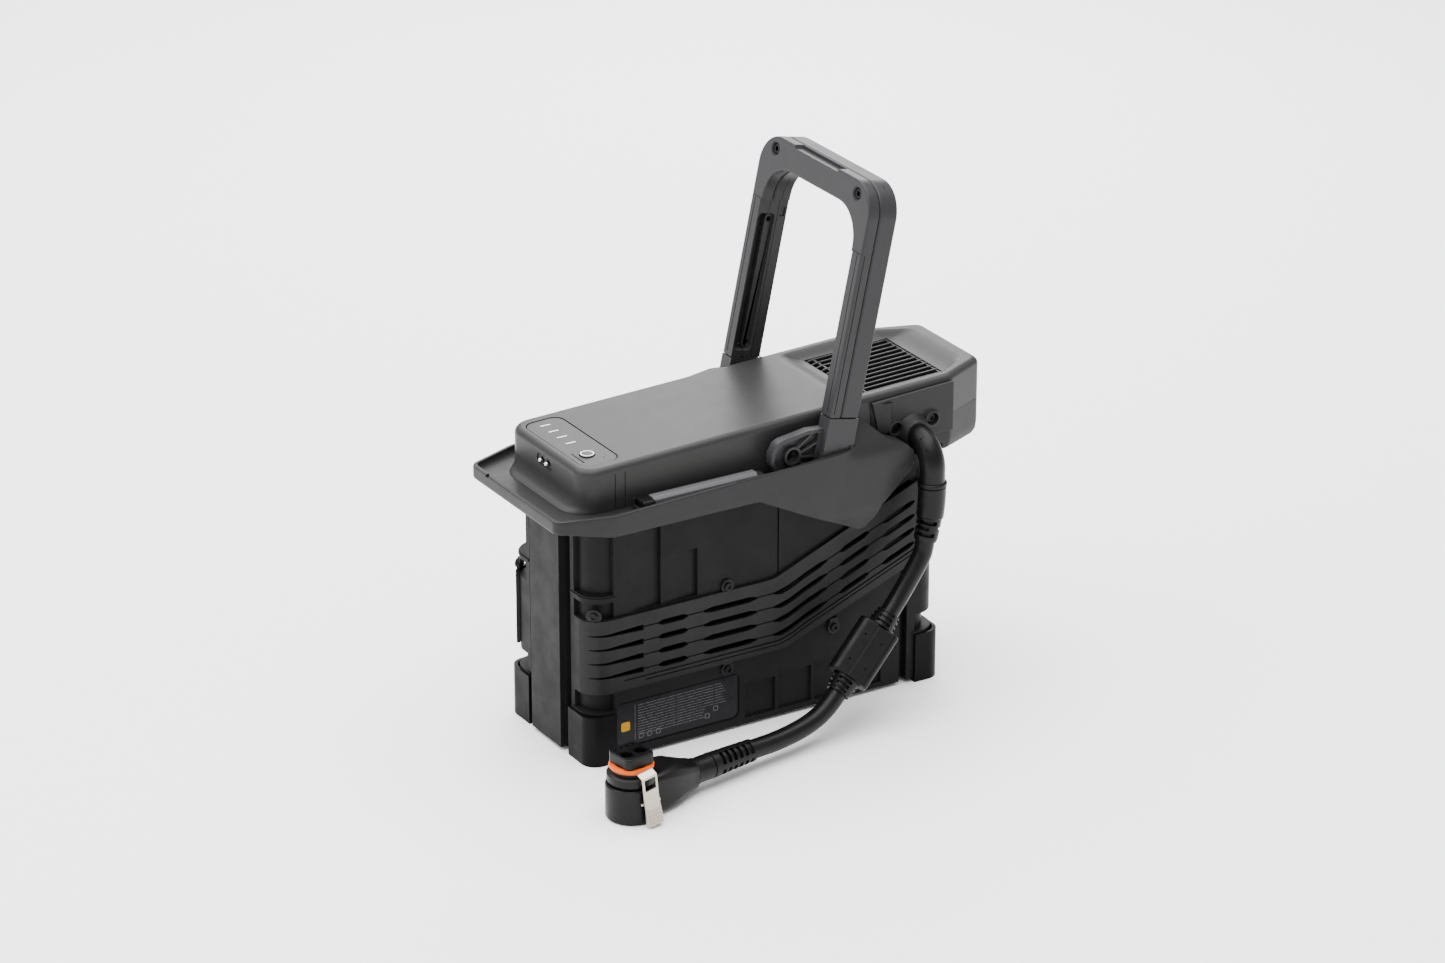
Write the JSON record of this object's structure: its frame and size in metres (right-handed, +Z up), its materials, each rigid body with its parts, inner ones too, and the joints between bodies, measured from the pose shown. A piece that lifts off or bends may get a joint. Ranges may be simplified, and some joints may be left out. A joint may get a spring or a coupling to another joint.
{
  "type": "power station",
  "caption": "Removable battery pack with a ribbed tub, vented top, folding carry handle and a thick output lead ending in a latched plug.",
  "frame": {"origin": "centre of the footprint on the floor that the bumpers stand on, without the output lead", "axes": "+X toward the vented rear end, -X toward the tray and control panel, -Y toward the side the output lead leaves, +Z up"},
  "size_m": [0.4151, 0.2685, 0.4517],
  "materials": {
    "tub_plastic": "dark glass-filled nylon, fine satin texture",
    "frame_plastic": "charcoal moulded plastic, fine satin texture",
    "cover_plastic": "mid grey moulded plastic, fine satin texture",
    "handle_plastic": "grey moulded plastic with a satin sheen",
    "black_plastic": "black moulded plastic",
    "panel_glass": "dark grey satin film",
    "lead_rubber": "black moulded rubber",
    "strip_rubber": "light grey soft strip",
    "orange_silicone": "orange silicone",
    "bright_steel": "brushed stainless steel",
    "black_steel": "black oxide steel",
    "circuit_board": "green solder mask",
    "cell_wrap": "blue film over aluminium cells",
    "white_light": "white light guide",
    "label_film": "dark printed film"
  },
  "bodies": {
    "root": {"battery_board": "circuit_board", "bracket_screw_1": "black_steel", "bracket_screw_2": "black_steel", "cable_bracket": "frame_plastic", "cable_collar": "lead_rubber", "cable_elbow": "lead_rubber", "cell_module_front": "cell_wrap", "cell_module_rear": "cell_wrap", "contact_block": "black_plastic", "contact_pin_1": "bright_steel", "contact_pin_2": "bright_steel", "control_panel": "panel_glass", "corner_bumper_front_left": "tub_plastic", "corner_bumper_front_right": "tub_plastic", "corner_bumper_rear_left": "tub_plastic", "corner_bumper_rear_right": "tub_plastic", "fan_frame": "black_plastic", "ferrite_boot_lower": "lead_rubber", "ferrite_boot_upper": "lead_rubber", "ferrite_core": "black_plastic", "fin_plate_left": "tub_plastic", "fin_plate_right": "tub_plastic", "fin_screw_left_1": "black_steel", "fin_screw_left_2": "black_steel", "fin_screw_left_3": "black_steel", "fin_screw_left_4": "black_steel", "fin_screw_right_1": "black_steel", "fin_screw_right_2": "black_steel", "fin_screw_right_3": "black_steel", "fin_screw_right_4": "black_steel", "latch_pin": "bright_steel", "ledge_strip_left": "strip_rubber", "ledge_strip_right": "strip_rubber", "light_guide": "white_light", "link_busbar": "bright_steel", "main_fuse": "black_plastic", "output_cable": "lead_rubber", "panel_board": "circuit_board", "pivot_pin_left": "bright_steel", "pivot_pin_right": "bright_steel", "plug_body": "black_plastic", "plug_grommet": "lead_rubber", "plug_head": "black_plastic", "plug_seal": "orange_silicone", "power_contact_1": "bright_steel", "power_contact_2": "bright_steel", "rating_label": "label_film", "top_cover": "cover_plastic", "tub": "tub_plastic", "upper_frame": "frame_plastic", "vent_grille": "black_plastic"},
    "handle": {"handle_front_shell": "handle_plastic", "handle_rear_shell": "handle_plastic", "handle_arm_left": "handle_plastic", "handle_arm_right": "handle_plastic", "handle_bolt_left": "black_steel", "handle_bolt_right": "black_steel"},
    "power_button": {"power_button": "white_light"},
    "plug_latch": {"plug_latch": "bright_steel"},
    "fan_rotor": {"fan_rotor": "black_plastic"}
  },
  "joints": [
    {"name": "handle_fold", "type": "hinge", "parent": "root", "child": "handle", "pos_m": [0.02675, 0, 0.225], "axis": [0, -1, 0], "range_deg": [0, 98]},
    {"name": "button_press", "type": "slide", "parent": "root", "child": "power_button", "axis": [0, 0, -1], "range_m": [0, 0.0008], "stiffness_N_per_m": 500},
    {"name": "latch_release", "type": "hinge", "parent": "root", "child": "plug_latch", "pos_m": [-0.18375, -0.17374, 0.0205], "axis": [0.989, 0.1478, 0], "range_deg": [0, 8], "stiffness_Nm_per_rad": 0.5},
    {"name": "fan_spin", "type": "hinge", "parent": "root", "child": "fan_rotor", "pos_m": [0.12225, 0, 0.2295], "axis": [0, 0, 1], "continuous": true}
  ]
}
